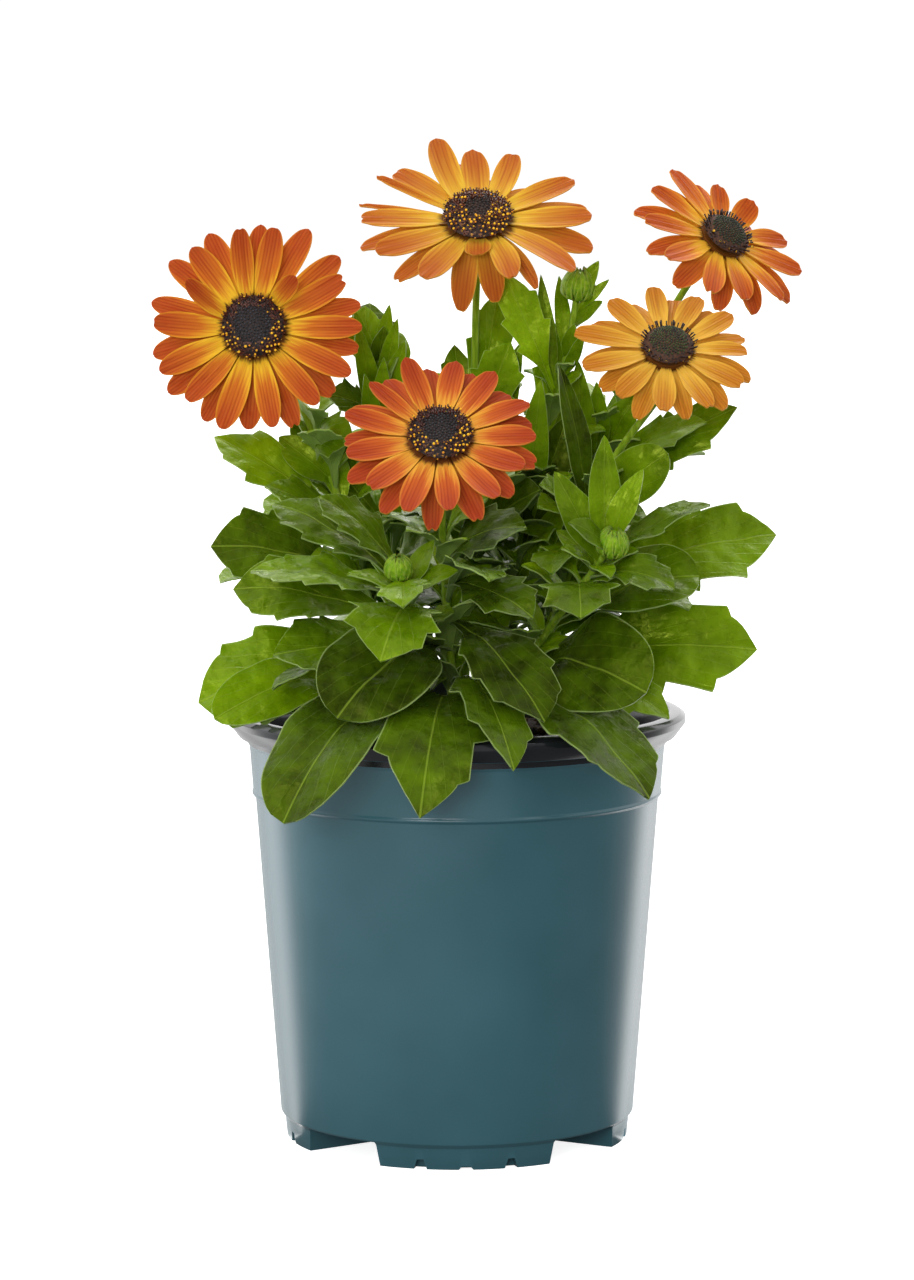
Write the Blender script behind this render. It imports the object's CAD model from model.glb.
# A potted osteospermum (African daisy). Metres, +Z up, -Y is the front. The plan below is in
# millimetres and is the same as the solids', so that every leaf, ray and bud stays where its solid is.
import math
from functools import partial

import bpy
import numpy as np
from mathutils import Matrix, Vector, noise


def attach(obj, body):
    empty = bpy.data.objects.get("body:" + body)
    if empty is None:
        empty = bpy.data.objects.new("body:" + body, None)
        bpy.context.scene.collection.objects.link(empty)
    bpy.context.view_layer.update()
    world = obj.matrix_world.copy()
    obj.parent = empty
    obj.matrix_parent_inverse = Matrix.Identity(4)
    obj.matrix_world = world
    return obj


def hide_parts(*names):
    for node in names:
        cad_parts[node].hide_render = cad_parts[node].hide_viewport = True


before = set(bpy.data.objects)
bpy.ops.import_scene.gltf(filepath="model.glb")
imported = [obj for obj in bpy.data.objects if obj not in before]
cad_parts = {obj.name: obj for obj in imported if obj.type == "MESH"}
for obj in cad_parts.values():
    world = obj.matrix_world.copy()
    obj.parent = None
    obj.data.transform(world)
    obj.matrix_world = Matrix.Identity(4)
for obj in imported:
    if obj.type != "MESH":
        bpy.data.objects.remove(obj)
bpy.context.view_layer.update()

MM = 0.001

# ---------------------------------------------------------------- driving dimensions, mm

FOOT_RADIUS = 64
BODY_RADIUS_LOW = 66.3
BODY_RADIUS_HIGH = 75.3
COLLAR_RADIUS_LOW = 76.2
COLLAR_RADIUS_HIGH = 77.5
RIM_RADIUS = 85.2
LIP_RADIUS = 81.6
RIM_INNER_RADIUS = 79.1
FOOT_HEIGHT = 8.8
COLLAR_HEIGHT = 129.8
LIP_HEIGHT = 151.6
RIM_HEIGHT = 160.5
WALL = 1.2
EDGE_ROUND = 0.4
POT_SIDES = 192
CHANNEL_COUNT = 4
CHANNEL_HEIGHT = 9
CHANNEL_START = 25
CHANNEL_HALF_ANGLE = math.radians(15)
BASE_TURN = math.radians(3)
DRAIN_RADIUS = 4.5
DRAIN_CIRCLE = 45

SOIL_FLOOR = 10.6
SOIL_TOP = 149
CRUMBS = 1500
CRUMB_FIELD = 75  # radius that the loose crumbs lie within
STEM_DEPTH = 20
STEM_RADIUS = 2.3
STALK_RADIUS = 1.35
STEM_STEPS = 48
SAME_PLACE = 0.06  # a leaf's tip and a corner of its solid are this close
GAP = 0.35
GOLDEN = math.radians(137.5)

TOOTH_STEP = 0.02  # share of the leaf over which a tooth's forward edge falls back
TOOTH_SWELL = 1.4  # power with which a tooth swells to its cusp
MARGIN_THICKNESS = 0.4
MIDRIB_RADIUS = 1.1
CREASE_RADIUS = 1.2  # of the fold along the midrib
VEIN_SPACING = 8.5
QUILT_HEIGHT = 0.7  # by which the blade swells between its side veins
SWELL_HEIGHT = 2.4  # of the blade's slow humps
SWELL_SPACING = 15
BROAD_HALF = 12  # half width from which a leaf has its full relief
LANCE_WIDTH = 15  # a narrower leaf is a plain lance

HUB_RADIUS = 9
HUB_HALF_HEIGHT = 1.4
RAY_BROADEST = 0.6  # share of its length where a ray is broadest
RAY_EDGE = 0.2  # half thickness of a ray's edge, and what its middle adds
RAY_BODY = 0.14
FLUTE_HEIGHT = 0.34
FLORETS = 270
FLORET_DISC = 12.4  # radius of the disc that a closed floret's size fits

# Light and camera, metres and watts.
PAPER_GLOW = 0.85
SHINE_BRIGHT = 2.5
ROOM_DARK = 0.55
ROOM_BRIGHT = 1.45
ROOM_SEEN = 1.05
LIT_MIDDLE = (0, 0, 0.24)
CAMERA_DISTANCE = 1.624
CAMERA_HEIGHT = 0.3781
CAMERA_TILT = math.radians(6.734)
CAMERA_LENS = 123.4
CAMERA_SENSOR = 36

# ---------------------------------------------------------------- the plant's plan

# Leaves: [share of the stem where it grows, tip, width, bow, direction its upper face looks to]. Sprigs
# are leaves too small for the solids, and `clothed` gives the small leaves up the stem: where they start
# and end, how many there are, and the lowest and highest one's length.
UP = [0, -0.35, 0.94]
SLANT = [0, -0.7, 0.72]
FRONT = [0, -0.94, 0.34]

STEMS = [{
    "name": "front_left",
    "route": [[-10, -14, 149], [-13, -30, 180], [-18, -50, 206], [-21, -60, 219]],
    "bud": {"size": 4.1, "face": [0, -0.5, 0.86]},
    "whorl": {"count": 5, "at": 0.88, "length": 21, "width": 10, "rise": 0.5},
    "fill": [{"count": 1, "azimuth": 200, "at": 0.5, "length": 58}],
    "leaves": [
        [0.36, [-61, -99, 133], 38, 20, UP], [0.5, [-66, -62, 188], 30, 8, SLANT],
        [0.7, [-81, -45, 210], 28, 8, [-0.1, -0.62, 0.78]], [0.8, [-27, -88, 189], 34, 8, SLANT],
        [0.84, [-74, -60, 218], 24, 6, [0, -0.6, 0.8]], [0.9, [-19, -86, 208], 19, 5, SLANT],
        [0.9, [-67, -38, 240], 24, 6, UP], [0.93, [-50, -50, 244], 20, 5, UP],
    ],
    "clothed": (0.35, 0.85, 9, 26, 16),
}, {
    "name": "front",
    "route": [[-1, -20, 149], [-3, -26, 190], [-5, -34, 225]],
    "bloom": "front",
    "fill": [{"count": 1, "azimuth": -60, "at": 0.55, "length": 52}],
    "leaves": [
        [0.26, [-13, -106, 136], 40, 19, UP], [0.28, [68, -88, 140], 38, 19, [0.1, -0.35, 0.93]],
        [0.32, [20, -100, 152], 27, 15, UP], [0.42, [-43, -84, 165], 40, 12, [-0.1, -0.72, 0.7]],
        [0.5, [31, -84, 167], 30, 10, [0.1, -0.8, 0.6]], [0.6, [27, -76, 203], 24, 6, SLANT],
        [0.66, [25, -52, 233], 28, 6, SLANT],
    ],
    "clothed": (0.25, 0.72, 12, 34, 22),
}, {
    "name": "left",
    "route": [[-20, -2, 149], [-32, -2, 200], [-48, 0, 250], [-64, 5, 286]],
    "bloom": "left",
    "fill": [{"count": 3, "azimuth": 150, "at": 0.24, "length": 66}],
    "leaves": [
        [0.2, [-95, -25, 166], 44, 12, [-0.2, -0.7, 0.7]], [0.24, [-88, -47, 163], 24, 8, [-0.2, -0.7, 0.7]],
        [0.4, [-90, -28, 224], 33, 8, [-0.1, -0.7, 0.7]], [0.53, [-90, 0, 262], 22, 6, [-0.1, -0.8, 0.6]],
        [0.5, [-72, 8, 238], 22, 5, [0.1, -0.8, 0.6]], [0.5, [-73, -14, 243], 22, 5, SLANT],
        [0.7, [-38, -16, 262], 20, 5, FRONT],
    ],
    "clothed": (0.25, 0.78, 16, 42, 24),
    "sprigs": [[0.62, [-66, 0, 262], 14, 3, FRONT]],
}, {
    "name": "back_left",
    "route": [[-14, 14, 149], [-22, 13, 200], [-28, 12, 250], [-30, 10, 288]],
    "whorl": {"count": 2, "at": 0.97, "length": 15, "width": 7, "rise": 0.9},
    "fill": [{"count": 4, "azimuth": 118, "at": 0.24, "length": 72},
             {"count": 2, "azimuth": -100, "at": 0.44, "length": 48}],
    "leaves": [
        [0.6, [-62, 10, 269], 24, 5, [-0.2, -0.7, 0.7]], [0.7, [-44, -12, 272], 20, 4, SLANT],
        [0.86, [-48, -5, 278], 16, 4, SLANT], [0.9, [-33, 35, 310], 19, 4, [0, -0.9, 0.3]],
        [0.95, [-34, 12, 310], 15, 4, [-0.3, -0.9, 0.2]], [0.97, [-22, 18, 300], 13, 4, [0.4, -0.85, 0.3]],
        [0.98, [-27, 3, 303], 8, 2, [0, -0.9, 0.2]], [0.9, [-22, -3, 292], 9, 2, SLANT],
    ],
    "clothed": (0.25, 0.93, 18, 44, 20),
    "sprigs": [
        [0.93, [-38, 2, 309], 7, 1.5, FRONT], [0.95, [-25, 4, 311], 7, 1.5, FRONT],
        [0.9, [-22, 0, 306], 7, 1.5, FRONT], [0.86, [-19, -4, 298], 8, 2, FRONT],
        [0.84, [-37, -6, 305], 8, 2, FRONT], [0.8, [-27, -8, 292], 8, 2, FRONT],
        [0.76, [-34, -8, 286], 8, 2, FRONT], [0.7, [-21, -8, 282], 8, 2, FRONT],
        [0.36, [-38, 0, 226], 14, 3, SLANT],
    ],
}, {
    "name": "centre",
    "route": [[2, 14, 149], [4, 17, 200], [6, 17, 260], [7, 16, 308]],
    "bloom": "top",
    "fill": [{"count": 3, "azimuth": 88, "at": 0.22, "length": 70},
             {"count": 2, "azimuth": -80, "at": 0.3, "length": 52}],
    "leaves": [
        [0.4, [31, -20, 244], 28, 6, SLANT], [0.55, [-1, 25, 295], 16, 3, FRONT],
        [0.6, [15, 32, 313], 18, 4, FRONT], [0.62, [20, 4, 297], 20, 4, FRONT],
        [0.5, [15, -3, 286], 16, 4, SLANT],
    ],
    "clothed": (0.22, 0.66, 18, 46, 26),
    "sprigs": [[0.52, [24, 8, 297], 13, 3, FRONT], [0.45, [20, 2, 276], 14, 4, SLANT],
               [0.4, [-6, 4, 262], 13, 3, SLANT]],
}, {
    "name": "upper_right",
    "route": [[12, 8, 149], [20, 7, 200], [32, 7, 255], [42, 9, 298], [45, 10, 317]],
    "bud": {"size": 5.5, "face": [0.1, -0.25, 0.96]},
    "fill": [{"count": 2, "azimuth": 62, "at": 0.3, "length": 64},
             {"count": 2, "azimuth": -70, "at": 0.42, "length": 46}],
    "leaves": [
        [0.78, [17, 0, 323], 17, 4, [0.1, -0.95, 0.2]], [0.62, [36, 15, 304], 16, 4, [0.3, -0.9, 0.2]],
        [0.76, [31, 6, 322], 7, 2, FRONT], [0.86, [38, 17, 321], 6, 2, FRONT],
        [0.42, [41, 2, 270], 16, 4, FRONT], [0.92, [54, 8, 312], 6, 1.5, SLANT],
        [0.5, [31, -9, 284], 12, 3, FRONT],
    ],
    "clothed": (0.25, 0.86, 20, 44, 14),
    "sprigs": [
        [0.97, [52.6, 8, 327], 6, 1, FRONT], [0.95, [56.5, 9, 320], 4, 1, FRONT],
        [0.86, [43.5, 2, 304], 6, 1, FRONT], [0.82, [47, 0, 301], 5, 1, [0.3, -0.9, 0.3]],
        [0.4, [44, 0, 244], 15, 3, SLANT],
    ],
}, {
    "name": "front_right",
    "route": [[12, -12, 149], [28, -24, 185], [46, -42, 212], [56, -50, 227]],
    "bud": {"size": 5, "face": [0.1, -0.5, 0.86]},
    "whorl": {"count": 5, "at": 0.89, "length": 20, "width": 9, "rise": 0.5},
    "leaves": [
        [0.44, [71, -62, 169], 41, 11, [0.2, -0.85, 0.5]], [0.5, [77, -46, 163], 22, 6, SLANT],
        [0.66, [88, -38, 214], 30, 6, [0, -0.6, 0.8]], [0.8, [44, -76, 203], 28, 6, SLANT],
        [0.86, [78, -56, 211], 22, 5, [0.3, -0.6, 0.74]], [0.88, [92, -36, 240], 18, 4, UP],
        [0.93, [35, -48, 253], 13, 3, FRONT], [0.95, [53, -47, 266], 12, 3, FRONT],
        [0.96, [67, -50, 254], 10, 3, SLANT], [0.97, [40, -62, 236], 10, 2, SLANT],
    ],
    "clothed": (0.25, 0.85, 12, 34, 18),
}, {
    "name": "right",
    "route": [[22, -2, 149], [38, -4, 200], [55, -11, 250]],
    "bloom": "right",
    "fill": [{"count": 2, "azimuth": 20, "at": 0.36, "length": 66},
             {"count": 1, "azimuth": -90, "at": 0.5, "length": 46}],
    "leaves": [
        [0.3, [111, -12, 184], 39, 10, [0.1, -0.9, 0.42]], [0.44, [119, 5, 225], 37, 8, [0, -0.8, 0.6]],
        [0.6, [77, -26, 258], 20, 4, [0.1, -0.8, 0.6]], [0.56, [30, -42, 248], 18, 4, SLANT],
        [0.62, [37, -17, 290], 11, 3, [0.4, -0.8, 0.4]],
    ],
    "clothed": (0.25, 0.68, 18, 42, 24),
}, {
    "name": "far_right",
    "route": [[20, 14, 149], [36, 18, 200], [58, 23, 262], [76, 24, 300]],
    "bloom": "far_right",
    "fill": [{"count": 3, "azimuth": 48, "at": 0.22, "length": 74},
             {"count": 1, "azimuth": -70, "at": 0.42, "length": 52}],
    "leaves": [[0.5, [104, 2, 273], 21, 6, [0, -0.8, 0.6]], [0.55, [92, -6, 268], 18, 5, SLANT]],
    "clothed": (0.25, 0.68, 18, 46, 24),
    "sprigs": [
        [0.5, [45, 10, 290], 12, 3, FRONT], [0.44, [38, 12, 279], 13, 3, SLANT],
        [0.58, [52, 10, 282], 9, 2, FRONT], [0.6, [67, 12, 277], 14, 3, FRONT],
    ],
}]

# Listed leaves whose edge isn't the usual toothed one, by stem and place in its list.
KINDS = {
    "front_left": {0: "blunt", 1: "notched", 2: "notched"},
    "front": {1: "notched", 3: "blunt", 4: "notched"},
    "left": {0: "notched", 1: "blunt", 2: "notched"},
    "front_right": {0: "blunt", 2: "blunt"},
    "right": {2: "blunt"},
}

# Leaves in full light (above 0) or deep in the plant (below 0), by stem and place in its list.
TONES = {
    "front_left": {0: -0.9, 1: -0.1, 2: -0.3, 3: 0.1, 4: 0.1, 6: -0.6, 7: -0.6},
    "front": {0: -0.7, 1: -0.9, 2: -0.7, 3: -1.1, 4: -1.2, 5: -0.9, 6: -1.0},
    "left": {0: 0.6, 1: 0.7, 2: -0.7, 3: 0.7},
    "centre": {0: -0.8, 2: 0.3},
    "upper_right": {0: 1.1, 1: 1.0, 4: -0.9},
    "front_right": {0: -0.9, 2: -0.4, 3: -0.3, 4: -0.4, 6: -0.1, 7: 0.1, 8: 0.3},
    "right": {0: 0.5, 1: 0.3, 4: -0.9},
    "far_right": {0: 0.2},
}

# Blooms: centre, direction the disc faces, ray count in two layers, length and width of a ray, the
# layers' lift in degrees, and rays that stand out: [index, lift, share of the length, degrees that its
# tip is swept round, share of the width].
# Ray colours: throat, base, middle, tip, the darker stripe, and how far up the ray the throat reaches.
# Florets: share of the radius that is closed ones, the dome's steepness, the share of florets with
# pollen, the outer kind, then dark and light colours of the core, the closed florets and the outer ones.
BLOOMS = [{
    "name": "left", "centre": [-73.9, -25, 303.6], "face": [-0.04, -0.97, 0.24], "rays": 28,
    "length": 29.6, "width": 9.2, "lift": [9, 2], "disc": 11.4, "dome": 3.4, "seed": 1,
    "odd": [
        [3, 2, 1.05, 2, 1.12], [4, 44, 0.66, -6, 0.8], [5, 2, 1.06, -2, 1.12], [8, 22, 0.92, -5, 0.9],
        [12, 38, 0.78, -6, 0.8],
    ],
    "colours": ("#4a1a14", "#e6b42c", "#c66e22", "#b24e20", "#983416", 0.12),
    "florets": (0.6, 4, 0.6, "open", "#160d0a", "#2e1810", "#101014", "#303036", "#1c0c0c", "#54240f"),
}, {
    "name": "top", "centre": [7.6, 0, 341.6], "face": [0, -0.66, 0.75], "rays": 24,
    "length": 33.5, "width": 10.2, "lift": [7, -3], "disc": 12.6, "dome": 3.8, "seed": 2,
    "odd": [
        [3, -4, 0.7, -8, 1], [4, 9, 0.8, 8, 1.05], [5, -4, 0.55, 0, 1], [6, 9, 0.76, 3, 1],
        [7, -3, 0.82, -3, 1], [8, 13, 1.02, -8, 1], [10, 9, 1.02, 2, 0.4], [11, 0, 1.04, 0, 0.3],
        [16, 5, 0.86, -2, 1], [17, -42, 0.74, 2, 0.96], [18, 12, 0.34, 0, 1], [19, -45, 0.72, 0, 0.96],
        [20, 4, 0.78, -8, 1], [21, -7, 0.84, -9, 0.6], [22, 7, 1.06, -10, 1],
    ],
    "colours": ("#54200f", "#dcb036", "#c8882a", "#b66222", "#a04a1c", 0.13),
    "florets": (0.4, 4, 0.8, "open", "#1a0e0a", "#3a1c0e", "#161210", "#3c281c", "#220e0a", "#64300f"),
}, {
    "name": "front", "centre": [-6, -58, 265.5], "face": [0, -0.75, 0.66], "rays": 26,
    "length": 26.4, "width": 9.4, "lift": [8, -2], "disc": 11.3, "dome": 3.6, "seed": 3,
    "odd": [[8, 26, 0.9, 3, 0.9], [10, 20, 0.95, 4, 0.75], [19, -20, 1.02, 2, 0.9]],
    "colours": ("#4c1714", "#e2a23a", "#c25e26", "#aa4222", "#902c18", 0.13),
    "florets": (0.56, 4, 0.66, "open", "#160d0a", "#2e1810", "#111012", "#302e31", "#1c0c0c", "#4d2110"),
}, {
    "name": "right", "centre": [76.6, -28, 295.3], "face": [0.04, -0.7, 0.71], "rays": 22,
    "length": 21.8, "width": 8.4, "lift": [4, -7], "disc": 9.3, "dome": 5, "seed": 4,
    "odd": [[0, 2, 0.92, 0, 1], [10, 4, 1.14, 2, 1], [12, 2, 1.1, -2, 1]],
    "colours": ("#4a1810", "#deac40", "#cc9632", "#be7c26", "#a85e18", 0.03),
    "florets": (0.78, 2.4, 0.04, "column", "#1c0e08", "#5a3010", "#10160a", "#3a4a1c", "#0c0608", "#2a1012"),
}, {
    "name": "far_right", "centre": [98.7, 18, 334.4], "face": [0.46, -0.6, 0.65], "rays": 22,
    "length": 24.6, "width": 9, "lift": [5, -6], "disc": 9.4, "dome": 4.4, "seed": 5,
    "odd": [
        [0, 4, 0.86, -4, 1], [1, -8, 0.62, 0, 1], [2, 30, 0.6, 2, 1.05], [3, -8, 0.5, 0, 1],
        [4, 14, 0.66, 4, 0.9], [5, -7, 0.86, 0, 0.9], [16, 4, 0.84, 0, 1.05], [17, -12, 0.9, 0, 1],
    ],
    "colours": ("#4c1a10", "#e2a830", "#ca6e24", "#b8521e", "#983816", 0.03),
    "florets": (0.74, 2.4, 0.1, "column", "#1c0e08", "#5a3010", "#0e140a", "#2c3819", "#0c0608", "#2a1012"),
}]

# ---------------------------------------------------------------- the rules that place every piece

def vec(x, y, z):
    return np.array([x, y, z], float)


def unit(v):
    return v / np.linalg.norm(v)


def jitter(seed, index):
    """A repeatable number from -1 to 1 for piece `index` of family `seed`."""
    value = math.sin(seed * 12.9898 + index * 78.233) * 43758.5453
    return (value - math.floor(value)) * 2 - 1


def reached(root, heading, climb, reach):
    """The point at a distance from the root, by its heading and its climb above the level."""
    return root + reach * (vec(math.cos(heading), math.sin(heading), 0) * math.cos(climb)
                           + vec(0, 0, math.sin(climb)))


def bloom_axes(centre, face):
    """A bloom's own axes: right and up in the plane of the rays, and out of its face."""
    out = unit(vec(*face))
    right = unit(np.cross(vec(0, 0, 1), out))
    return {"centre": vec(*centre), "right": right, "up": np.cross(out, right), "out": out}


def axes_of(name):
    bloom = next(b for b in BLOOMS if b["name"] == name)
    return bloom_axes(bloom["centre"], bloom["face"])


def on_bloom(axes, radius, angle, height):
    return (axes["centre"] + axes["right"] * (radius * math.cos(angle))
            + axes["up"] * (radius * math.sin(angle)) + axes["out"] * height)


class StemLine:
    """A centripetal Catmull-Rom curve through points, walked by its length."""

    def __init__(self, points, divisions=200):
        self.points = [np.array(p, float) for p in points]
        self.steps = np.array([self.point(k / divisions) for k in range(divisions + 1)])
        chords = np.linalg.norm(np.diff(self.steps, axis=0), axis=1)
        self.lengths = np.concatenate([[0], np.cumsum(chords)])

    def point(self, t):
        points = self.points
        last = len(points) - 1
        spot = last * t
        k = min(int(spot), last - 1)
        weight = spot - k
        before = points[k - 1] if k > 0 else 2 * points[0] - points[1]
        after = points[k + 2] if k + 2 <= last else 2 * points[last] - points[last - 1]
        a, b, c, d = before, points[k], points[k + 1], after
        ab, bc, cd = (np.linalg.norm(q - p) ** 0.5 for p, q in ((a, b), (b, c), (c, d)))
        leave = ((b - a) / ab - (c - a) / (ab + bc) + (c - b) / bc) * bc
        arrive = ((c - b) / bc - (d - b) / (bc + cd) + (d - c) / cd) * bc
        square = -3 * b + 3 * c - 2 * leave - arrive
        cube = 2 * b - 2 * c + leave + arrive
        return b + leave * weight + square * weight ** 2 + cube * weight ** 3

    def at(self, share):
        """The point at a share of the curve's length."""
        target = share * self.lengths[-1]
        k = min(int(np.searchsorted(self.lengths, target, side="right")) - 1, len(self.lengths) - 2)
        part = (target - self.lengths[k]) / (self.lengths[k + 1] - self.lengths[k])
        return self.point((k + part) / (len(self.lengths) - 1))


def stem_line(stem):
    """The foot stands in the potting mix; a stem with a bloom runs on along its axis into the cup."""
    points = [vec(*p) for p in stem["route"]]
    if "bloom" in stem:
        axes = axes_of(stem["bloom"])
        points += [on_bloom(axes, 0, 0, -20), on_bloom(axes, 0, 0, -10)]
    x, y = stem["route"][0][:2]
    foot = vec(x, y, SOIL_TOP - STEM_DEPTH)
    return StemLine([foot, points[0], vec(x, y, SOIL_TOP + 5)] + points[1:])


# How a leaf gives way to what already stands there: its tip is lifted and swung by these many mm.
BENDS = [
    [0, 0], [4, 0], [-4, 0], [0, 4], [0, -4], [8, 0], [-8, 0], [0, 8], [0, -8], [5, 6], [5, -6], [-5, 6],
    [-5, -6], [12, 0], [-12, 0], [0, 13], [0, -13], [9, 11], [9, -11], [-9, 11], [-9, -11], [18, 0],
    [-18, 0], [0, 20], [0, -20], [16, 16], [16, -16], [-16, 16], [-16, -16],
]
SHRINKS = [1, 0.86, 0.72]


def leaf_axes(leaf):
    chord = unit(leaf["tip"] - leaf["root"])
    rise = unit(leaf["face"] - chord * (leaf["face"] @ chord))
    return rise, np.cross(chord, rise)


def bent(leaf, bend, shrink):
    rise, side = leaf_axes(leaf)
    chord = leaf["tip"] - leaf["root"]
    reach = unit(chord + rise * bend[0] + side * bend[1])
    tip = leaf["root"] + reach * np.linalg.norm(chord) * shrink
    return {**leaf, "tip": tip, "width": leaf["width"] * shrink}


def settled(leaf, solid_points):
    """The leaf as its solid stands: the bend whose tip is a corner of the solid, or None."""
    for shrink in SHRINKS:
        for bend in BENDS:
            tried = bent(leaf, bend, shrink)
            if np.linalg.norm(solid_points - tried["tip"], axis=1).min() < SAME_PLACE:
                return tried
    return None


def leaves_of(stem, line, family):
    """The stem's listed leaves, the whorl round its tip, then those that fill the space round it."""
    rows = [{"at": at, "tip": vec(*tip), "width": width, "bow": bow, "face": face}
            for at, tip, width, bow, face in stem["leaves"]]
    if "whorl" in stem:
        whorl = stem["whorl"]
        axes = bloom_axes(line.at(whorl["at"]), stem["bud"]["face"] if "bud" in stem else UP)
        for i in range(whorl["count"]):
            reach = whorl["length"] * (1 + 0.15 * jitter(family + 3, i))
            tip = on_bloom(axes, reach * math.cos(whorl["rise"]), GOLDEN * i, reach * math.sin(whorl["rise"]))
            rows.append({"at": whorl["at"], "tip": tip, "width": whorl["width"], "bow": 2,
                         "face": axes["out"]})
    for bunch, fill in enumerate(stem.get("fill", [])):
        for i in range(fill["count"]):
            at = fill["at"] + 0.11 * i
            turn = (34 if i % 2 else -34) + 14 * jitter(family + 4 + bunch, i)
            heading = math.radians(fill["azimuth"] + (turn if fill["count"] > 1 else 0))
            climb = math.radians(6 + 12 * i + 5 * jitter(family + 5 + bunch, i))
            reach = fill["length"] * (1 - 0.09 * i)
            rows.append({"at": at, "tip": reached(line.at(at), heading, climb, reach),
                         "width": 0.42 * reach, "bow": 9, "face": [0, 0, 1]})
    for index, row in enumerate(rows):
        row.update(
            root=line.at(row["at"]), face=unit(vec(*row["face"])), index=index,
            fold=0.22 + 0.1 * jitter(family, index), twist=0.35 * jitter(family + 1, index),
            wave=0.03 * row["width"], phase=3 * jitter(family + 2, index),
            listed=index < len(stem["leaves"]))
    return rows


def clothing(stem, line, family):
    """Small leaves all the way up a stem, each a golden angle on from the last, shorter as they climb,
    and the sprigs."""
    low, high, count, long, short = stem["clothed"]
    rows = []
    for i in range(count):
        share = (i + 0.5) / count
        heading = GOLDEN * i + 2.4 * jitter(family + 50, 0) + 0.5 * jitter(family + 51, i)
        climb = math.radians(30 + 16 * jitter(family + 52, i) + 12 * share)
        reach = (long + (short - long) * share) * (1 + 0.14 * jitter(family + 53, i))
        root = line.at(low + (high - low) * share)
        rows.append({
            "root": root, "tip": reached(root, heading, climb, reach), "face": unit(vec(0, -0.25, 1)),
            "width": reach * (0.46 + 0.06 * jitter(family + 54, i)), "bow": 0.16 * reach,
            "fold": 0.3 + 0.1 * jitter(family + 55, i), "twist": 0.5 * jitter(family + 56, i), "wave": 0.6,
            "phase": 3 * jitter(family + 57, i), "tone": 0.6 * jitter(family + 58, i) + 0.6, "index": i,
        })
    for i, (at, tip, width, bow, face) in enumerate(stem.get("sprigs", [])):
        rows.append({
            "root": line.at(at), "tip": vec(*tip), "face": unit(vec(*face)), "width": width, "bow": bow,
            "fold": 0.4, "twist": 0, "wave": 0.3, "phase": 3 * jitter(family + 59, i), "tone": 0.4,
            "index": 3 * (count + i),
        })
    return rows


# ---------------------------------------------------------------- small modelling tools

def clear_selection():
    if bpy.context.object and bpy.context.object.mode == "EDIT":
        bpy.ops.object.mode_set(mode="OBJECT")
    bpy.ops.object.select_all(action="DESELECT")


def pick(*pieces):
    clear_selection()
    for piece in pieces:
        piece.select_set(True)
    bpy.context.view_layer.objects.active = pieces[0]


def primitive(operator, name, **size):
    """A new primitive, selected alone, with its place in its mesh and its object at the origin."""
    clear_selection()
    operator(**size)
    piece = bpy.context.object
    piece.name = piece.data.name = name
    bpy.ops.object.transform_apply(location=True, rotation=True, scale=True)
    return piece


def points_of(piece):
    found = np.empty(len(piece.data.vertices) * 3, np.float64)
    piece.data.vertices.foreach_get("co", found)
    return found.reshape(-1, 3)


def move_points(piece, points):
    piece.data.vertices.foreach_set("co", np.asarray(points, np.float32).ravel())
    piece.data.update()


def give(piece, name, values):
    """A number for each point of the piece, which its material reads by this name."""
    layer = piece.data.attributes.get(name) or piece.data.attributes.new(name, "FLOAT", "POINT")
    layer.data.foreach_set("value", np.broadcast_to(values, len(piece.data.vertices)).astype(np.float32))


def linked(name, data):
    piece = bpy.data.objects.new(name, data)
    bpy.context.scene.collection.objects.link(piece)
    return piece


def joined(name, pieces):
    pick(*pieces)
    if len(pieces) > 1:
        bpy.ops.object.join()
    whole = bpy.context.object
    whole.name = whole.data.name = name
    return whole


def apply_modifier(piece, kind, **settings):
    pick(piece)
    modifier = piece.modifiers.new(kind.title(), kind)
    for key, value in settings.items():
        setattr(modifier, key, value)
    bpy.ops.object.modifier_apply(modifier=modifier.name)


def mend(piece, distance=1e-6):
    """Doubles merged and faces turned outwards."""
    pick(piece)
    bpy.ops.object.mode_set(mode="EDIT")
    bpy.ops.mesh.select_all(action="SELECT")
    bpy.ops.mesh.remove_doubles(threshold=distance)
    bpy.ops.mesh.normals_make_consistent(inside=False)
    bpy.ops.object.mode_set(mode="OBJECT")


def finish(piece, *nodes, slot, crease, materials):
    """The piece takes its materials, is smoothed up to the crease's degrees, rides with the plant, stands
    for its solids and names the slot of its finish."""
    for material in materials:
        piece.data.materials.append(material)
    if crease:
        pick(piece)
        bpy.ops.object.shade_smooth_by_angle(angle=math.radians(crease))
    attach(piece, "root")
    if nodes:
        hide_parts(*nodes)


def turned(name, profile, sides, size=MM):
    """A solid of revolution about Z: a filled circle, extruded and resized from ring to ring."""
    radius, height = profile[0]
    piece = primitive(bpy.ops.mesh.primitive_circle_add, name, vertices=sides, radius=radius * size,
                      fill_type="NGON", location=(0, 0, height * size))
    bpy.ops.object.mode_set(mode="EDIT")
    bpy.ops.mesh.select_all(action="SELECT")
    for (radius, height), (next_radius, next_height) in zip(profile, profile[1:]):
        rise = (0, 0, (next_height - height) * size)
        bpy.ops.mesh.extrude_region_move(TRANSFORM_OT_translate={"value": rise})
        grow = next_radius / radius
        bpy.ops.transform.resize(value=(grow, grow, 1), center_override=(0, 0, next_height * size))
    bpy.ops.object.mode_set(mode="OBJECT")
    mend(piece)
    return piece


# ---------------------------------------------------------------- patterns: blades and rays

# A blade pattern is modelled flat: X is the share of the midrib, Y the share of the half width and Z
# the share of the half thickness. `laid_leaf` gives each copy its size and its curves. A ray pattern is
# flat too: X is the share of its length, Y of its half width, Z of its thickness.

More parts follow.
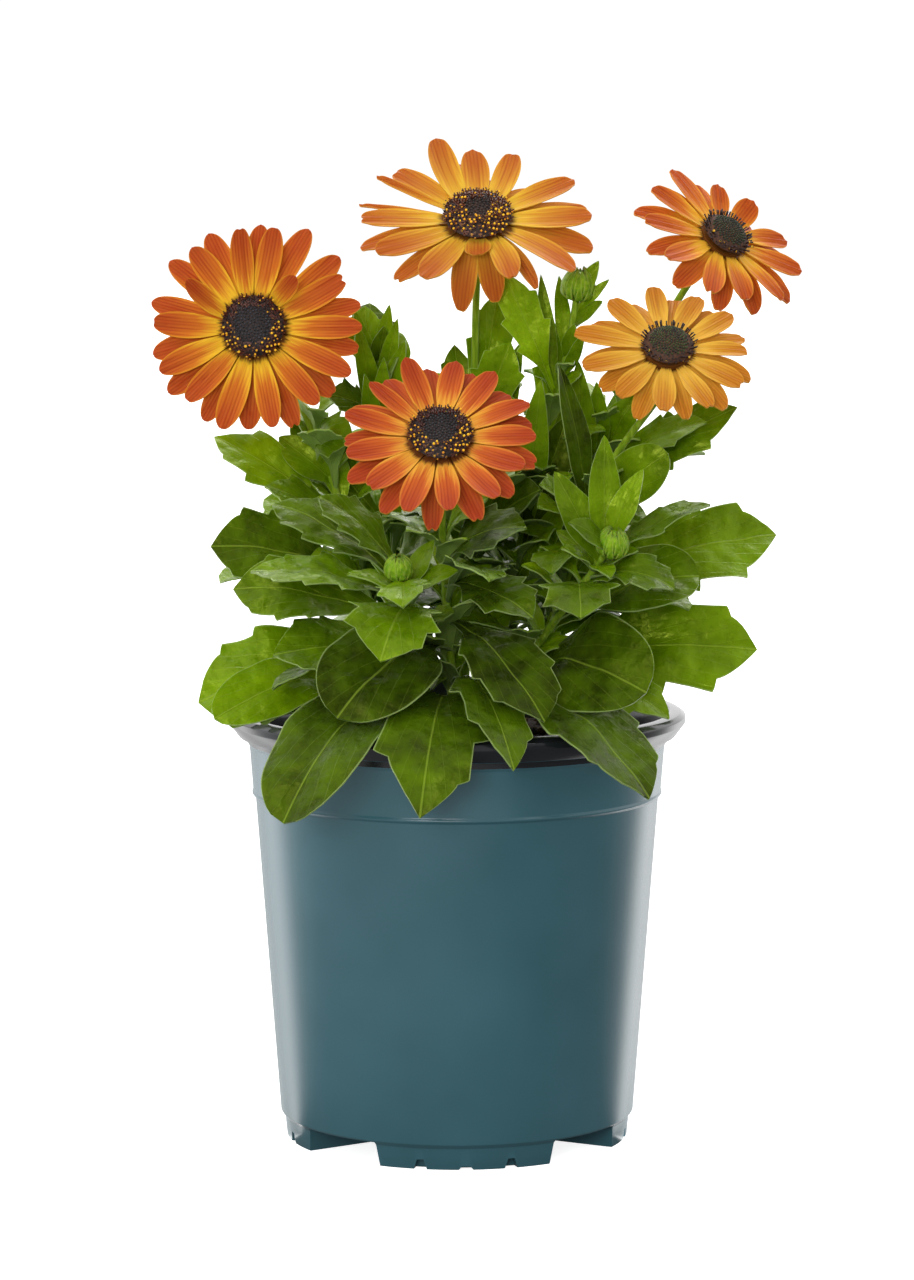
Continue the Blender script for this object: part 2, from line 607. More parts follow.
def between(nodes, t, power):
    """The value at t on the line through (place, value) nodes, each stretch bent by `power`."""
    for (a, low), (b, high) in zip(nodes, nodes[1:]):
        if t <= b:
            return low + (high - low) * ((t - a) / (b - a)) ** power
    return nodes[-1][1]


def scalloped(*cusps):
    """The edge of a toothed side: it swells slowly to each cusp, steps back and swells again."""
    nodes = [(0, 0.08), (0.25, 0.2)]
    for place, height, step in cusps:
        nodes += [(place, height), (place + TOOTH_STEP, height - step)]
    return nodes + [(1, 0)]


# Both sides of each toothed blade, as (place, height, step back) of its cusps.
BLADES = {
    "toothed": [
        scalloped((0.46, 0.9, 0.22), (0.68, 1.05, 0.28), (0.86, 0.78, 0.2)),
        scalloped((0.57, 1.04, 0.25), (0.79, 0.98, 0.28)),
    ],
    "notched": [
        scalloped((0.58, 0.98, 0.1), (0.75, 1.02, 0.18), (0.89, 0.78, 0.17)),
        scalloped((0.5, 0.93, 0.08), (0.67, 1.03, 0.15), (0.83, 0.92, 0.2)),
    ],
}


def blunt_edge(t, lean):
    """A spatula's edge: a winged stalk that swells to a broad, round end."""
    swell = 1 / (1 + math.exp(-(t - 0.36 + 0.02 * lean) * 15))
    end = max(0.0, 1 - max(0.0, (t - 0.66) / 0.34) ** 2.3) ** 0.5
    return (0.09 + 0.91 * swell) * end * (1 + 0.02 * lean * math.sin(9 * t))


def lance_edge(t, lean):
    """A lance's edge: broad in the middle and drawn out to a point."""
    swell = 0.2 + 0.8 * math.sin(math.pi / 2 * min(1, t / 0.52)) ** 1.2
    end = 1.0 if t < 0.5 else math.cos(math.pi / 2 * ((t - 0.5) / 0.5)) ** 0.8
    return swell * end * (1 + 0.03 * lean * math.sin(14 * t))


def edge_at(kind, side, t):
    if kind in BLADES:
        return max(0.0, between(BLADES[kind][0 if side < 0 else 1], t, TOOTH_SWELL))
    return blunt_edge(t, side) if kind == "blunt" else lance_edge(t, side)


def two_sided(pattern, margin):
    """A flat pattern with its thickness: `margin` grows from its middle to its edge, `under` is 1 below."""
    give(pattern, "margin", margin)
    apply_modifier(pattern, "SOLIDIFY", thickness=2, offset=0)
    mend(pattern, 1e-5)
    give(pattern, "under", (1 - np.sign(points_of(pattern)[:, 2])) / 2)
    return pattern


def flat_blade(kind, rows, columns):
    """A leaf's pattern: a grid, drawn out to the leaf's edge. Each cusp has rows of its own."""
    places = set(1 - (1 - k / rows) ** 1.15 for k in range(rows + 1))
    for nodes in BLADES.get(kind, []):
        places.update(place for place, _ in nodes)
        places.update(place + TOOTH_STEP / 2 for place, _ in nodes[2:-1:2])
    places = sorted(places)
    blade = primitive(bpy.ops.mesh.primitive_grid_add, kind + "_pattern", x_subdivisions=len(places) - 1,
                      y_subdivisions=columns, size=2)
    points = points_of(blade)
    row = np.rint((points[:, 0] + 1) / 2 * (len(places) - 1)).astype(int)
    across = np.sign(points[:, 1]) * np.abs(points[:, 1]) ** 0.82
    t = np.array(places)[row]
    edge = np.array([edge_at(kind, -1 if v < 0 else 1, min(1.0, u)) for u, v in zip(t, across)])
    move_points(blade, np.stack([t, across * edge, 0 * t], 1))
    return two_sided(blade, np.abs(across))


def flat_ray(rows, columns):
    """A strap that widens slowly from its claw and ends in a half ellipse."""
    ray = primitive(bpy.ops.mesh.primitive_grid_add, "ray_pattern", x_subdivisions=rows,
                    y_subdivisions=columns, size=2)
    points = points_of(ray)
    q = 1 - (1 - (points[:, 0] + 1) / 2) ** 1.5
    across = np.sin(points[:, 1] * np.pi / 2)
    edge = 0.38 + 0.62 * np.sin(np.pi / 2 * np.minimum(1, q / RAY_BROADEST)) ** 1.1
    end = np.maximum(0, q - RAY_BROADEST) / (1 - RAY_BROADEST)
    edge *= np.sqrt(np.maximum(0, 1 - end ** 2.2))
    move_points(ray, np.stack([q, across * edge, 0 * q], 1))
    return two_sided(ray, np.abs(across))


def laid(pattern, flat, points, tone):
    """A copy of the pattern with its points laid out. Its UV map keeps their `flat` places, with the
    middle line at V 0.5."""
    piece = linked(pattern.name, pattern.data.copy())
    move_points(piece, points * MM)
    layer = piece.data.uv_layers.active or piece.data.uv_layers.new(name="UVMap")
    corners = np.empty(len(piece.data.loops), np.int32)
    piece.data.loops.foreach_get("vertex_index", corners)
    places = np.stack([flat[:, 0], flat[:, 1] / 2 + 0.5], 1)[corners]
    layer.data.foreach_set("uv", places.astype(np.float32).ravel())
    give(piece, "tone", tone)
    return piece


def laid_leaf(pattern, leaf):
    """A copy of the pattern with the leaf's size, bow, fold, twist and waved edge."""
    flat = points_of(pattern)
    t, share, level = flat.T
    half = leaf["width"] / 2
    s = share * half
    size = np.abs(share)
    right = s > 0
    phase = leaf["phase"]
    rise, side = leaf_axes(leaf)
    root, tip = leaf["root"], leaf["tip"]
    length = np.linalg.norm(tip - root)
    control = (root + tip) / 2 + rise * 2 * leaf["bow"]
    along = t[:, None]
    middle = root * (1 - along) ** 2 + control * 2 * along * (1 - along) + tip * along ** 2
    tangent = (control - root) * (1 - along) + (tip - control) * along
    tangent /= np.linalg.norm(tangent, axis=1)[:, None]
    up = np.cross(side, tangent)
    turn = (leaf["twist"] * t)[:, None]
    across = side * np.cos(turn) + up * np.sin(turn)
    normal = up * np.cos(turn) - side * np.sin(turn)
    wave = leaf["wave"] * size ** 2 * np.sin(13 * t + phase + np.where(right, 1.9, 0))
    crease = np.sqrt(s ** 2 + CREASE_RADIUS ** 2) - CREASE_RADIUS
    lift = leaf["fold"] * crease * (1 - 0.35 * size) + wave
    # Between its side veins, which run forward from the midrib, the blade swells a little.
    full = min(1, half / BROAD_HALF)
    vein = t * length / VEIN_SPACING - size * 0.9 + np.where(right, 0.5, 0)
    quilt = QUILT_HEIGHT * full * np.abs(np.sin(np.pi * vein)) * np.minimum(1, size * 4) * (1 - size)
    drawn = flat[:, :2] * [length / SWELL_SPACING, half / SWELL_SPACING]
    swell = np.array([noise.noise(Vector((x, y, 7 * phase))) for x, y in drawn])
    quilt += SWELL_HEIGHT * swell * np.sin(np.pi * np.clip(t, 0, 1)) * full
    # Near its edge it is ruffled, finely and more slowly.
    ripple = 0.25 * size ** 3 * np.sin(t * length / 1.9 + 5 * phase)
    ripple += 0.7 * size ** 2 * np.sin(t * length / 4.6 + 3 * phase + np.where(right, 1.1, 0))
    # The midrib is sunk above and stands out below.
    rib = np.exp(-(s / MIDRIB_RADIUS) ** 2) * (1 - 0.55 * t)
    top = 0.5 * MARGIN_THICKNESS + 0.25 * (1 - size) - 0.18 * rib
    bottom = 0.5 * MARGIN_THICKNESS + 0.1 * (1 - size) + 0.75 * rib
    height = np.where(level > 0, top, -bottom) + quilt + ripple * min(1, half / 10)
    points = middle + across * s[:, None] + normal * (lift + height)[:, None]
    return laid(pattern, flat, points, leaf["tone"])


def ray_shape(bloom, index):
    """A ray's shape: each differs a little from the next, and the bloom lists those that stand out."""
    layer = index % 2

    def vary(family):
        return jitter(bloom["seed"] + family, index)

    usual = [index, bloom["lift"][layer] + 1.3 * vary(20), 1, 3 * vary(80), 1]
    _, lift, longer, sweep, wider = next((row for row in bloom["odd"] if row[0] == index), usual)
    return {
        "angle": index * 2 * math.pi / bloom["rays"],
        "base": -0.65 if layer else 0.65,
        "lift": math.radians(lift),
        "length": bloom["length"] * longer * (1 + 0.06 * vary(40)),
        "width": bloom["width"] * wider * (1 + 0.06 * vary(60)),
        "sweep": math.radians(sweep),
        "droop": 1.6 + 0.6 * vary(100),
        "curl": 0.9 * vary(120),
        "roll": vary(140),
        "cup": 0.14 + 0.16 * abs(vary(180)) ** 2,
        "notch": max(0, vary(200) - 0.45) * 0.12,
        "tone": vary(160),
    }


def laid_ray(pattern, axes, shape):
    """A copy of the ray pattern in its place round the disc, fluted lengthwise, cupped and turned."""
    flat = points_of(pattern)
    q, share, level = flat.T
    half = shape["width"] / 2
    s = share * half
    q = q - shape["notch"] * np.exp(-(share / 0.22) ** 2) * q ** 9
    radius = HUB_RADIUS + shape["length"] * math.cos(shape["lift"]) * q
    height = shape["base"] + shape["length"] * math.sin(shape["lift"]) * q ** 1.6 - shape["droop"] * q ** 2
    angle = shape["angle"] + shape["sweep"] * q
    cup = shape["cup"] * half * share ** 2
    flute = FLUTE_HEIGHT * np.cos(share * 3.2 * np.pi) * (1 - share ** 2) * np.minimum(1, q * 3)
    curl = shape["curl"] * np.maximum(0, q - 0.55) ** 2 * 3
    lean = 0.24 * shape["roll"] * s * q
    thick = RAY_EDGE + RAY_BODY * (1 - share ** 2)
    height = height + cup + flute + curl + lean + level * thick
    along = np.outer(np.cos(angle), axes["right"]) + np.outer(np.sin(angle), axes["up"])
    across = np.outer(-np.sin(angle), axes["right"]) + np.outer(np.cos(angle), axes["up"])
    points = axes["centre"] + along * radius[:, None] + across * s[:, None] + np.outer(height, axes["out"])
    return laid(pattern, flat, points, shape["tone"])


# ---------------------------------------------------------------- materials

def linear(code):
    """An sRGB hex colour as linear red, green, blue and alpha."""
    shares = [int(code[k:k + 2], 16) / 255 for k in (1, 3, 5)]
    return tuple(c / 12.92 if c <= 0.04045 else ((c + 0.055) / 1.055) ** 2.4 for c in shares) + (1,)


def add(owner, kind, sockets=(), stops=(), out=0, **settings):
    """One node with its settings and links. `sockets` gives its inputs, in their order or by name, a
    value or another node's output. `stops` are a ramp's places and colours. Gives the output `out`."""
    node = owner.node_tree.nodes.new("ShaderNode" + kind)
    for key, value in settings.items():
        setattr(node, key, value)
    for key, value in sockets.items() if isinstance(sockets, dict) else enumerate(sockets):
        if isinstance(value, bpy.types.NodeSocket):
            owner.node_tree.links.new(value, node.inputs[key])
        else:
            node.inputs[key].default_value = value
    if stops:
        ramp = node.color_ramp.elements
        while len(ramp) < len(stops):
            ramp.new(0.5)
        for element, (place, colour) in zip(ramp, stops):
            element.position, element.color = place, linear(colour)
    return node.outputs[out] if node.outputs else None


# Settings that recur. A Mix of colours has its share in socket 0 and its colours in 6 and 7.
COLOURS = {"out": 2, "data_type": "RGBA"}
SCALED = {"operation": "MULTIPLY_ADD"}


def new_material(name):
    """An empty material, and the function that adds a node to it."""
    material = bpy.data.materials.new(name)
    material.use_nodes = True
    material.node_tree.nodes.clear()
    return material, partial(add, material)


def leaf_material():
    """Living leaf: a waxy cuticle over soft green tissue. The eye sees a satin mid green, mottled
    by the tissue below, a paler midrib and side veins, a thin whitish margin and a grey underside."""
    material, node = new_material("living_leaf_waxy_cuticle")
    place = node("TexCoord", out="Object")
    tone, under, margin = (node("Attribute", out="Fac", attribute_name=name)
                           for name in ("tone", "under", "margin"))
    # Patches of tissue about 12 mm across, with finer mottling of 4 mm.
    patches = node("TexNoise", {"Vector": place, "Scale": 1 / (12 * MM)})
    mottle = node("TexNoise", {"Vector": place, "Scale": 1 / (4 * MM)})
    mixed = node("Math", (patches, 0.36, 0.19), **SCALED)
    mixed = node("Math", (mottle, 0.14, mixed), **SCALED)
    mixed = node("Math", (tone, 0.2, mixed), **SCALED)
    green = node("ValToRGB", (mixed,), stops=[
        (0.16, "#222f05"), (0.4, "#4e6a04"), (0.58, "#698a04"), (0.82, "#88aa0a")])
    # The midrib lies at V 0.5 of the blade's own map. Side veins leave it forwards, four to a leaf.
    along, across = (node("SeparateXYZ", (node("TexCoord", out="UV"),), out=axis) for axis in "XY")
    off = node("Math", (across, 0.5), operation="SUBTRACT")
    size = node("Math", (off,), operation="ABSOLUTE")
    rib = node("MapRange", (size, 0.005, 0.014, 1, 0))
    side = node("Math", (off,), operation="SIGN")
    phase = node("Math", (side, 0.03, node("Math", (size, -1.9, along), **SCALED)), **SCALED)
    comb = node("Math", (phase, 0.125), operation="PINGPONG")
    veins = node("MapRange", (comb, 0.002, 0.012, 0.22, 0))
    lines = node("Math", (rib, veins), operation="MAXIMUM")
    paler = node("Math", (lines, 0.34), operation="MULTIPLY")
    surface = node("Mix", {0: paler, 6: green, 7: linear("#9db83c")}, **COLOURS)
    rim = node("MapRange", (margin, 0.965, 0.99, 0, 0.48))
    surface = node("Mix", {0: rim, 6: surface, 7: linear("#a9bd78")}, **COLOURS)
    back = node("Mix", {0: 0.5, 6: surface, 7: linear("#7f9660")}, **COLOURS)
    # The blade's net is drawn at 1.1 mm, as coarse as it needs to show. The veins are slightly sunk, and
    # wrinkles of 6 mm break up the reflections.
    net = node("TexVoronoi", {"Vector": place, "Scale": 1 / (1.1 * MM)}, out="Distance",
               feature="DISTANCE_TO_EDGE")
    wrinkles = node("TexNoise", {"Vector": place, "Scale": 1 / (6 * MM)})
    relief = node("Math", (net, 0.22), operation="MULTIPLY")
    relief = node("Math", (lines, -1.6, relief), **SCALED)
    relief = node("Math", (wrinkles, 4.6, relief), **SCALED)
    rough = node("Math", (under, 0.2, node("MapRange", (mottle, 0.3, 0.7, 0.22, 0.4))), **SCALED)
    shader = node("BsdfPrincipled", {
        "Base Color": node("Mix", {0: under, 6: surface, 7: back}, **COLOURS),
        "Normal": node("Bump", {"Height": relief, "Strength": 0.6, "Distance": 0.35 * MM}),
        "Roughness": rough,
        # The older, darker leaves near the pot have lost some of their gloss.
        "Specular IOR Level": node("MapRange", (tone, -1, 0, 0.2, 0.5)),
        "Specular Tint": linear("#eeff62"), "Subsurface Weight": 0.22,
        "Subsurface Radius": (0.5, 1, 0.12), "Subsurface Scale": 1.2 * MM,
    })
    node("OutputMaterial", {"Surface": shader})
    return material


def stem_material():
    """Young stem: ribbed green skin with a bloom of short hairs, so it is pale and soft, not glossy."""
    material, node = new_material("young_stem_downy_skin")
    # Ribs run up the stem, 1.2 mm apart: the pattern is drawn out eight times along Z.
    drawn = node("Mapping", {"Vector": node("TexCoord", out="Object"), "Scale": (1, 1, 0.12)})
    ribs = node("TexNoise", {"Vector": drawn, "Scale": 1 / (1.2 * MM)})
    shader = node("BsdfPrincipled", {
        "Base Color": node("ValToRGB", (ribs,), stops=[
            (0.3, "#5e7d14"), (0.55, "#7c9a22"), (0.75, "#9db64a")]),
        "Normal": node("Bump", {"Height": ribs, "Strength": 0.5, "Distance": 0.3 * MM}),
        "Roughness": 0.6, "Sheen Weight": 0.06, "Specular IOR Level": 0.3,
        "Specular Tint": linear("#e6ff5a"), "Subsurface Weight": 0.15, "Subsurface Scale": 1.5 * MM,
    })
    node("OutputMaterial", {"Surface": shader})
    return material


def ray_material(bloom):
    """Ray floret: thin petal tissue, satin and a little translucent. The eye sees a dark throat, a
    yellow base that runs out in streaks into orange, and fine darker veins along its length."""
    throat, base, middle, tip, stripe, reach_up = bloom["colours"]
    material, node = new_material("petal_tissue_bloom_" + bloom["name"])
    tone, under, margin = (node("Attribute", out="Fac", attribute_name=name)
                           for name in ("tone", "under", "margin"))
    up, across = (node("SeparateXYZ", (node("TexCoord", out="UV"),), out=axis) for axis in "XY")
    # Streaks are about a tenth of the ray wide and two thirds of its length, and each ray has its own.
    drawn = node("Mapping", {"Vector": node("CombineXYZ", (up, across, tone)), "Scale": (1.1, 9, 7)})
    streaks = node("TexNoise", {"Vector": drawn, "Scale": 1.3, "Detail": 3})
    along = node("Math", (node("Math", (streaks, 0.62, -0.31), **SCALED), up), operation="ADD")
    along = node("Math", (tone, 0.09, along), **SCALED)
    # The yellow runs on along both edges, so that it leaves a wedge of orange in the ray's middle.
    off = node("Math", (across, 0.5), operation="SUBTRACT")
    size = node("Math", (off,), operation="ABSOLUTE")
    along = node("Math", (node("Math", (size, 2.2), operation="POWER"), -1.15, along), **SCALED)
    colour = node("ValToRGB", (along,), stops=[(0.0, base), (0.09, base), (0.37, middle), (0.8, tip)])
    # Veins: soft lines from base to tip, 1.1 mm apart, strongest in the middle of the ray.
    veins = node("MapRange", (node("Math", (off, 0.0625), operation="PINGPONG"), 0, 0.045, 0.95, 0))
    broad = node("MapRange", (size, 0.05, 0.36, 0.3, 0))
    reach = node("MapRange", (along, 0.2, 0.7, 0.15, 1))
    dark = node("Math", (veins, streaks), operation="MULTIPLY")
    dark = node("Math", (dark, 1.7, broad), **SCALED)
    dark = node("Math", (dark, reach), operation="MULTIPLY")
    dark = node("Math", (dark, 0.75), operation="MULTIPLY", use_clamp=True)
    face = node("Mix", {0: dark, 6: colour, 7: linear(stripe)}, **COLOURS)
    rim = node("MapRange", (margin, 0.8, 1, 0, 0.34))
    face = node("Mix", {0: rim, 6: face, 7: linear(base)}, **COLOURS)
    edge = node("Math", (streaks, 0.2, up), **SCALED)
    deep = node("MapRange", (edge, reach_up + 0.07, reach_up + 0.13, 0.9, 0))
    face = node("Mix", {0: deep, 6: face, 7: linear(throat)}, **COLOURS)
    back = node("Mix", {0: 0.35, 6: face, 7: linear("#dfa040")}, **COLOURS)
    shader = node("BsdfPrincipled", {
        "Base Color": node("Mix", {0: under, 6: face, 7: back}, **COLOURS),
        "Normal": node("Bump", {"Height": streaks, "Strength": 0.25, "Distance": 0.3 * MM}),
        "Roughness": 0.5, "Specular IOR Level": 0.25, "Specular Tint": linear("#ffc070"),
        "Subsurface Weight": 0.2, "Subsurface Radius": (1, 0.5, 0.1), "Subsurface Scale": 1.2 * MM,
    })
    node("OutputMaterial", {"Surface": shader})
    return material


def plain_tissue(name, dark, light, roughness, grain_mm, subsurface=0.1):
    """Florets and pollen: small, dry and matt, of one colour that wanders a little from piece to piece."""
    material, node = new_material(name)
    tone = node("Attribute", out="Fac", attribute_name="tone")
    grain = node("TexNoise", {"Vector": node("TexCoord", out="Object"), "Scale": 1 / (grain_mm * MM)})
    share = node("Math", (tone, 0.25, grain), **SCALED)
    shader = node("BsdfPrincipled", {
        "Base Color": node("ValToRGB", (share,), stops=[(0.3, dark), (0.7, light)]),
        "Roughness": roughness, "Subsurface Weight": subsurface, "Subsurface Scale": 0.8 * MM,
    })
    node("OutputMaterial", {"Surface": shader})
    return material


def bract_material():
    """Involucre bract: thick green tissue. The eye sees a paler, papery edge and a duller tip."""
    material, node = new_material("involucre_bract")
    margin = node("Attribute", out="Fac", attribute_name="margin")
    along = node("SeparateXYZ", (node("TexCoord", out="UV"),), out="X")
    grain = node("TexNoise", {"Vector": node("TexCoord", out="Object"), "Scale": 1 / (1.5 * MM)})
    green = node("ValToRGB", (grain,), stops=[(0.3, "#557c10"), (0.7, "#84a824")])
    pale = node("MapRange", (margin, 0.6, 0.95, 0, 0.55))
    surface = node("Mix", {0: pale, 6: green, 7: linear("#a9bd58")}, **COLOURS)
    tip = node("MapRange", (along, 0.8, 1, 0, 0.5))
    shader = node("BsdfPrincipled", {
        "Base Color": node("Mix", {0: tip, 6: surface, 7: linear("#56683a")}, **COLOURS),
        "Roughness": 0.45, "Specular Tint": linear("#e6ff5a"), "Subsurface Weight": 0.15,
        "Subsurface Scale": 1 * MM,
    })
    node("OutputMaterial", {"Surface": shader})
    return material


def moulded_plastic(name, dark, light, roughness, grain_mm, bump_mm):
    """Polypropylene from a textured mould: an even colour and a fine leathery grain that breaks up
    the reflections of the studio. Colour and gloss wander over stretches of 40 mm."""
    material, node = new_material(name)
    place = node("TexCoord", out="Object")
    grain = node("TexNoise", {"Vector": place, "Scale": 1 / (grain_mm * MM), "Detail": 3,
                              "Roughness": 0.55})
    broad = node("TexNoise", {"Vector": place, "Scale": 1 / (40 * MM)})
    shader = node("BsdfPrincipled", {
        "Base Color": node("ValToRGB", (broad,), stops=[(0.3, dark), (0.7, light)]),
        "Normal": node("Bump", {"Height": grain, "Strength": 0.6, "Distance": bump_mm * MM}),
        "Roughness": node("MapRange", {"Value": broad, "To Min": roughness - 0.04,
                                       "To Max": roughness + 0.04}),
        "IOR": 1.49,
    })
    node("OutputMaterial", {"Surface": shader})
    return material


def soil_material():
    """Potting mix: damp peat and composted bark, dark brown with paler fibres and no gloss."""
    material, node = new_material("peat_and_bark_mix")
    tone = node("Attribute", out="Fac", attribute_name="tone")
    grain = node("TexNoise", {"Vector": node("TexCoord", out="Object"), "Scale": 1 / (1.4 * MM),
                              "Detail": 5, "Roughness": 0.7})
    share = node("Math", (tone, 0.2, grain), **SCALED)
    shader = node("BsdfPrincipled", {
        "Base Color": node("ValToRGB", (share,), stops=[
            (0.3, "#120d0a"), (0.55, "#2b1e16"), (0.85, "#5a4433")]),
        "Normal": node("Bump", {"Height": grain, "Strength": 0.9, "Distance": 0.6 * MM}),
        "Roughness": 0.92, "Specular IOR Level": 0.2,
    })
    node("OutputMaterial", {"Surface": shader})
    return material


# ---------------------------------------------------------------- pot

def pot_piece():
    """One moulding: feet, tapered body, collar, and a rim that is turned down into a lip. The outside is
    teal up to the lip, and the rim and the inside are charcoal."""
    under = COLLAR_RADIUS_HIGH + 0.7
    floor = CHANNEL_HEIGHT + WALL
    pot = turned("pot_moulding", [
        (FOOT_RADIUS, 0), (FOOT_RADIUS + 0.8, FOOT_HEIGHT - 0.8), (BODY_RADIUS_LOW, FOOT_HEIGHT + 0.8),
        (BODY_RADIUS_HIGH, COLLAR_HEIGHT - 1), (COLLAR_RADIUS_LOW + 0.35, COLLAR_HEIGHT - 0.1),
        (COLLAR_RADIUS_LOW + 0.35, COLLAR_HEIGHT + 0.4), (COLLAR_RADIUS_LOW, COLLAR_HEIGHT + 1.2),
        (COLLAR_RADIUS_HIGH, LIP_HEIGHT - 3.6), (under, LIP_HEIGHT - 2.8), (under, RIM_HEIGHT - 3.6),
        (RIM_RADIUS - 2.2, RIM_HEIGHT - 3.2), (LIP_RADIUS - WALL, LIP_HEIGHT + 0.4),
        (LIP_RADIUS, LIP_HEIGHT), (RIM_RADIUS, RIM_HEIGHT - 4), (RIM_RADIUS, RIM_HEIGHT - 1.6),
        (RIM_RADIUS - 1.8, RIM_HEIGHT - 0.3), (RIM_INNER_RADIUS + 0.6, RIM_HEIGHT),
        (RIM_INNER_RADIUS, RIM_HEIGHT - 0.3), (COLLAR_RADIUS_HIGH - WALL, LIP_HEIGHT),
        (COLLAR_RADIUS_LOW - WALL, COLLAR_HEIGHT + 0.8), (BODY_RADIUS_HIGH - WALL, COLLAR_HEIGHT - 0.2),
        (BODY_RADIUS_LOW - WALL, floor),
    ], POT_SIDES)
    apply_modifier(pot, "BEVEL", width=EDGE_ROUND * MM, segments=2, limit_method="ANGLE",
                   angle_limit=math.radians(20))
    cutters = joined("cutters", channel_cutters() + drain_cutters() + notch_cutters())
    apply_modifier(pot, "BOOLEAN", object=cutters, operation="DIFFERENCE", solver="EXACT")
    bpy.data.objects.remove(cutters)
    for face in pot.data.polygons:
        x, y, z = face.center / MM
        outward = face.normal.x * x + face.normal.y * y > 0
        inner = z > floor - 0.1 and not outward and math.hypot(x, y) < RIM_INNER_RADIUS
        face.material_index = int(z > LIP_HEIGHT + 0.5 or inner)
    finish(pot, "pot", slot="pot_plastic", crease=30, materials=[
        moulded_plastic("polypropylene_teal_satin", "#365e68", "#3c6570", 0.23, 0.9, 0.055),
        moulded_plastic("polypropylene_charcoal", "#17191d", "#1f2126", 0.15, 1.2, 0.03)])


def foot_axes(quarter, degrees=0.0, turn=0.0):
    angle = BASE_TURN + turn + quarter * 2 * math.pi / CHANNEL_COUNT + math.radians(degrees)
    out = vec(math.cos(angle), math.sin(angle), 0)
    return out, vec(-out[1], out[0], 0)


def cutter_block(name, axes, ends):
    """A cutter with four sides: a cube whose ends are moved to (reach, low half width, high half width,
    height) along the axes. It starts 1 mm below the standing surface."""
    out, side = axes
    block = primitive(bpy.ops.mesh.primitive_cube_add, name, size=2)
    places = []
    for x, y, z in points_of(block):
        reach, low, high, height = ends[int(x > 0)]
        half, level = (low, -1) if z < 0 else (high, height)
        places.append(out * reach + side * math.copysign(half, y) + vec(0, 0, level))
    move_points(block, np.array(places) * MM)
    mend(block)
    return block


def channel_cutters():
    """The drainage channels between the four feet, which widen outwards."""
    ends = []
    for reach in (CHANNEL_START, BODY_RADIUS_LOW + 4):
        half = reach * math.tan(CHANNEL_HALF_ANGLE)
        ends.append((reach, half + 1.4, half - 0.3, CHANNEL_HEIGHT))
    return [cutter_block(f"channel_{k}", foot_axes(k, turn=-math.pi / 4), ends)
            for k in range(CHANNEL_COUNT)]


def drain_cutters():
    holes = []
    for k in range(CHANNEL_COUNT):
        out, _ = foot_axes(k, turn=-math.pi / 4)
        place = (out * DRAIN_CIRCLE + vec(0, 0, CHANNEL_HEIGHT)) * MM
        holes.append(primitive(bpy.ops.mesh.primitive_cylinder_add, f"drain_{k}", vertices=32,
                               radius=DRAIN_RADIUS * MM, depth=6 * MM, location=place))
    return holes


def notch_cutters():
    """Each foot's outer edge has a small slot in its middle and a deeper pointed one on either side."""
    return [cutter_block(f"notch_{k}_{degrees}", foot_axes(k, degrees, -math.pi / 2),
                         [(FOOT_RADIUS + over, half, half * 0.45, height) for over in (-4, 4)])
            for k in range(CHANNEL_COUNT)
            for degrees, half, height in ((0, 3.5, 1.4), (-15, 2.8, 3.7), (15, 2.8, 3.7))]


# ---------------------------------------------------------------- potting mix

def many(name, pattern, places):
    """One mesh of copies of the pattern, each at (origin, three axes as rows, size, tone)."""
    flat = points_of(pattern)
    faces = [tuple(face.vertices) for face in pattern.data.polygons]
    count = len(flat)
    points = np.concatenate([origin + (flat * size) @ axes for origin, axes, size, _ in places])
    mesh = bpy.data.meshes.new(name)
    mesh.from_pydata((points * MM).tolist(), [],
                     [tuple(v + k * count for v in face) for k in range(len(places)) for face in faces])
    piece = linked(name, mesh)
    give(piece, "tone", np.repeat([tone for *_, tone in places], count))
    return piece


def tumbled(seed, index):
    """Three axes turned every way at random."""
    x = unit(vec(jitter(seed, index), jitter(seed + 1, index), jitter(seed + 2, index) + 0.01))
    y = unit(np.cross(x, vec(jitter(seed + 3, index), 0.3, jitter(seed + 4, index))))
    return np.array([x, y, np.cross(x, y)])


def soil_top(x, y):
    """The lumpy surface: humps 17 mm apart and up to 3 mm high, with finer lumps on them. It falls by
    1.6 mm towards the rim."""
    spot = Vector((x, y, 0))
    hump = 1.5 * noise.noise(spot / 17) + 0.8 * noise.noise(spot / 5) + 0.4 * noise.noise(spot / 2)
    from_rim = max(0.0, (math.hypot(x, y) - 66) / 10)
    return SOIL_TOP + 0.4 + hump - 1.6 * min(1.0, from_rim)


